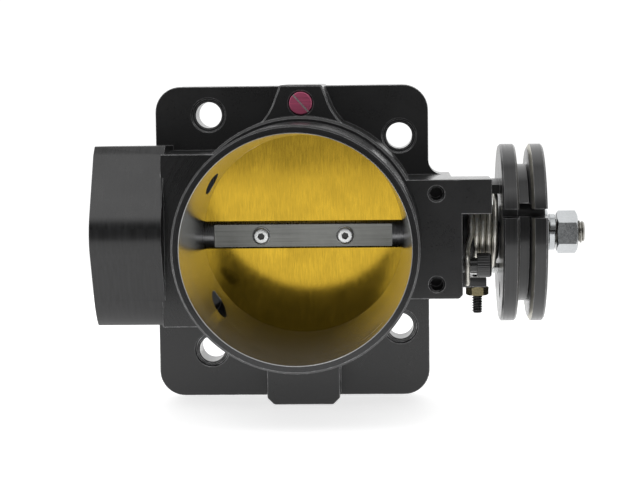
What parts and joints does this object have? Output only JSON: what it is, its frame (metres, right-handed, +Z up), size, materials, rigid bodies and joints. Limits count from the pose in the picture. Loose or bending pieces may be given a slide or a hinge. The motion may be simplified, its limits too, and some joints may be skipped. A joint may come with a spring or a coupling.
{
  "type": "throttle body",
  "caption": "Cable-driven throttle body: billet housing with a round bore, brass blade on a cross shaft, return spring, grooved pulley and idle stop.",
  "frame": {"origin": "centre of the bore on the manifold face", "axes": "+Y along the bore towards the manifold, +X along the shaft towards the pulley, +Z up"},
  "size_m": [0.169, 0.093, 0.1125],
  "materials": {
    "black_anodised": "black anodised, satin, fine milling marks",
    "pulley_anodised": "black anodised, turned and bead blasted",
    "blade_brass": "satin, fine vertical grain",
    "shaft_steel": "ground, slightly dark",
    "screw_steel": "bright",
    "bearing_steel": "polished",
    "zinc_plate": "bright zinc plate",
    "spring_wire": "drawn wire, bright",
    "yellow_zinc": "yellow passivated zinc",
    "black_oxide": "black oxide",
    "black_nylon": "moulded",
    "seal_rubber": "matte",
    "rose_anodised": "rose anodised, satin"
  },
  "bodies": {
    "housing": {"main_body": "black_anodised", "spring_bush_inner": "black_nylon", "return_spring": "spring_wire", "spring_anchor_screw": "black_oxide", "idle_stop_screw": "black_oxide", "idle_stop_nut": "yellow_zinc", "idle_bypass_screw": "rose_anodised", "bypass_screw_seal": "seal_rubber", "bearing_outer_race_left": "bearing_steel", "bearing_ball_set_left": "bearing_steel", "retaining_ring_left": "black_oxide", "shaft_seal_left": "seal_rubber", "bearing_outer_race_right": "bearing_steel", "bearing_ball_set_right": "bearing_steel", "retaining_ring_right": "black_oxide", "shaft_seal_right": "seal_rubber"},
    "throttle": {"throttle_shaft": "shaft_steel", "throttle_blade": "blade_brass", "blade_screw_left": "screw_steel", "blade_screw_right": "screw_steel", "bearing_inner_race_left": "bearing_steel", "bearing_inner_race_right": "bearing_steel", "shaft_spacer": "shaft_steel", "spring_bush_outer": "black_nylon", "cable_pulley": "pulley_anodised", "stop_pin": "screw_steel", "pulley_washer": "zinc_plate", "lock_washer": "zinc_plate", "shaft_nut": "zinc_plate"}
  },
  "joints": [
    {"name": "throttle_turn", "type": "hinge", "parent": "housing", "child": "throttle", "pos_m": [0, -0.022, 0], "axis": [1, 0, 0], "range_deg": [0, 84], "stiffness_Nm_per_rad": 0.25, "springref_deg": -34.38, "deforming": ["return_spring"]}
  ]
}
